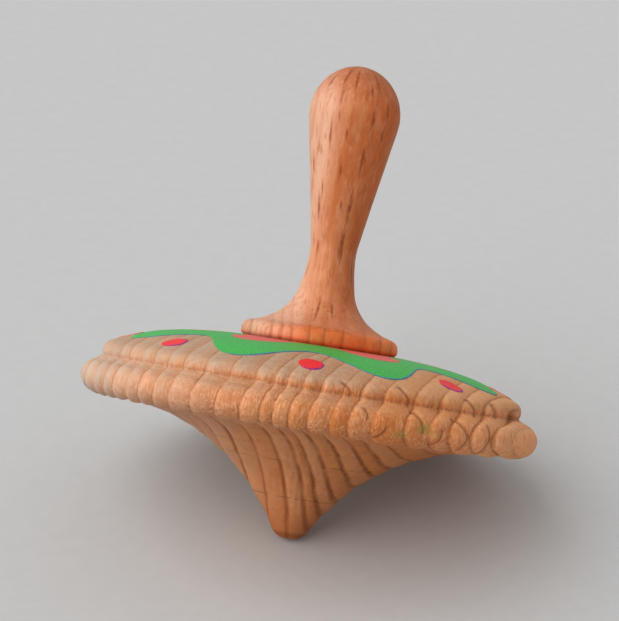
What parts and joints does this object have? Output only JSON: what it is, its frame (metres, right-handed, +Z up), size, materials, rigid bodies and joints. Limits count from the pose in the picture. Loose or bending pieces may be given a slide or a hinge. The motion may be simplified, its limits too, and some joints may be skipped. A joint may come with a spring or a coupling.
{
  "type": "spinning top",
  "caption": "Turned wooden finger top: beaded disc on a hollow-sided cone point, glued knob handle, and a printed wave-and-dots decoration on the disc.",
  "frame": {"origin": "middle of the small worn flat on the point, which is the lowest spot of the top standing upright", "axes": "+Z up along the spin axis from the point to the knob; +X and +Y lie in the disc's plane, and one red dot faces -Y"},
  "size_m": [0.05, 0.05, 0.0519],
  "materials": {
    "body_wood": "bare beech with raised grain",
    "handle_wood": "bare smooth-turned beech",
    "green_print": "smooth satin print film",
    "pale_red_print": "smooth satin print film",
    "red_print": "smooth satin print film"
  },
  "bodies": {
    "root": {"body": "body_wood", "handle": "handle_wood", "green_wave_print": "green_print", "red_petal_print": "pale_red_print", "red_dot_print_1": "red_print", "red_dot_print_2": "red_print", "red_dot_print_3": "red_print", "red_dot_print_4": "red_print", "red_dot_print_5": "red_print", "red_dot_print_6": "red_print", "red_dot_print_7": "red_print", "red_dot_print_8": "red_print"}
  },
  "joints": []
}
